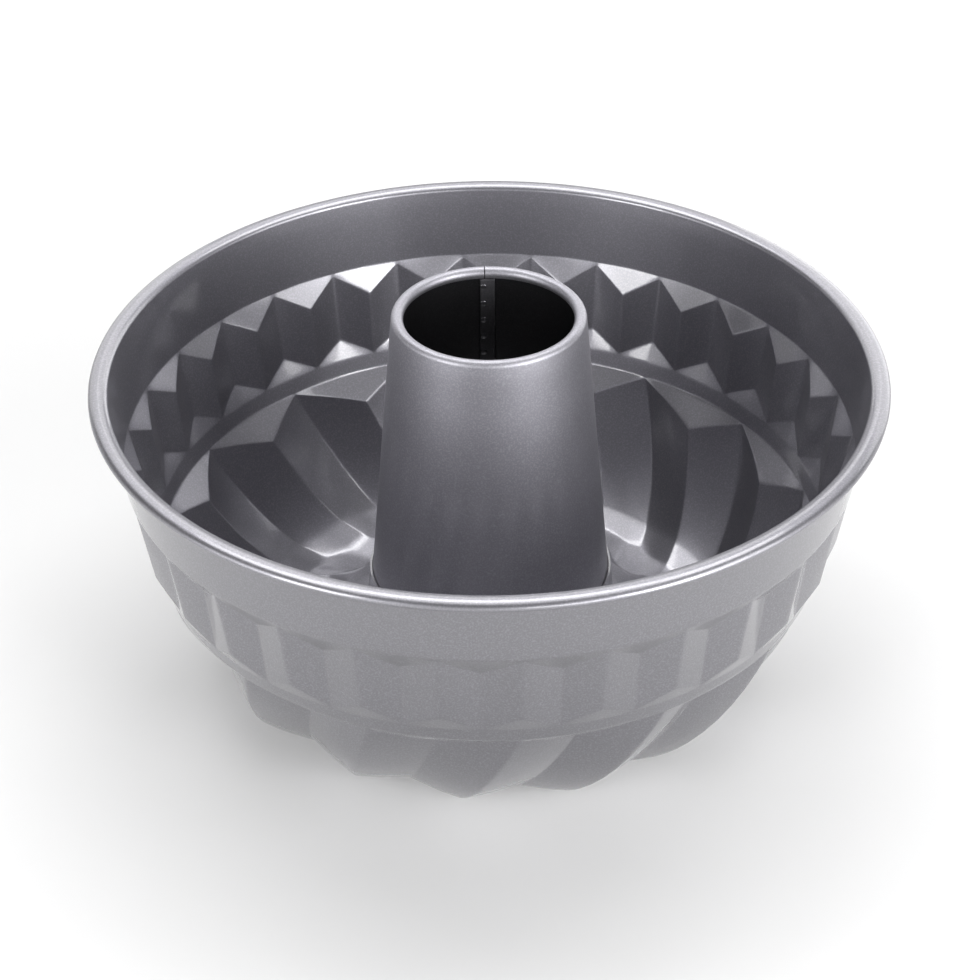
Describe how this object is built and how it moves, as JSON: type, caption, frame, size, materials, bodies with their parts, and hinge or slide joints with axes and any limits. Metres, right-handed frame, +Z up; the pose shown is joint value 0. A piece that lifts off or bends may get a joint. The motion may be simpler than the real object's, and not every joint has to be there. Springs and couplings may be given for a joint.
{
  "type": "fluted tube pan",
  "caption": "Round fluted tube pan of coated sheet steel: wired rim, plain band, pleated wall, swirled lower flutes and an open rolled tube in the middle.",
  "frame": {"origin": "on the pan's axis, at the level of the table on which its lower lobes rest", "axes": "+Z up along the axis of the pan and its tube; the pictured view comes from -Y, with +X to the right; the tube's seam is at +Y"},
  "size_m": [0.22, 0.22, 0.114],
  "materials": {
    "shell_coating": "dark grey non-stick coating, semi-gloss with a fine metallic fleck",
    "tube_coating": "dark grey non-stick coating, semi-gloss with a fine metallic fleck",
    "bare_wire": "drawn bright steel wire"
  },
  "bodies": {
    "root": {"pan_shell": "shell_coating", "centre_tube": "tube_coating", "rim_wire": "bare_wire"}
  },
  "joints": []
}
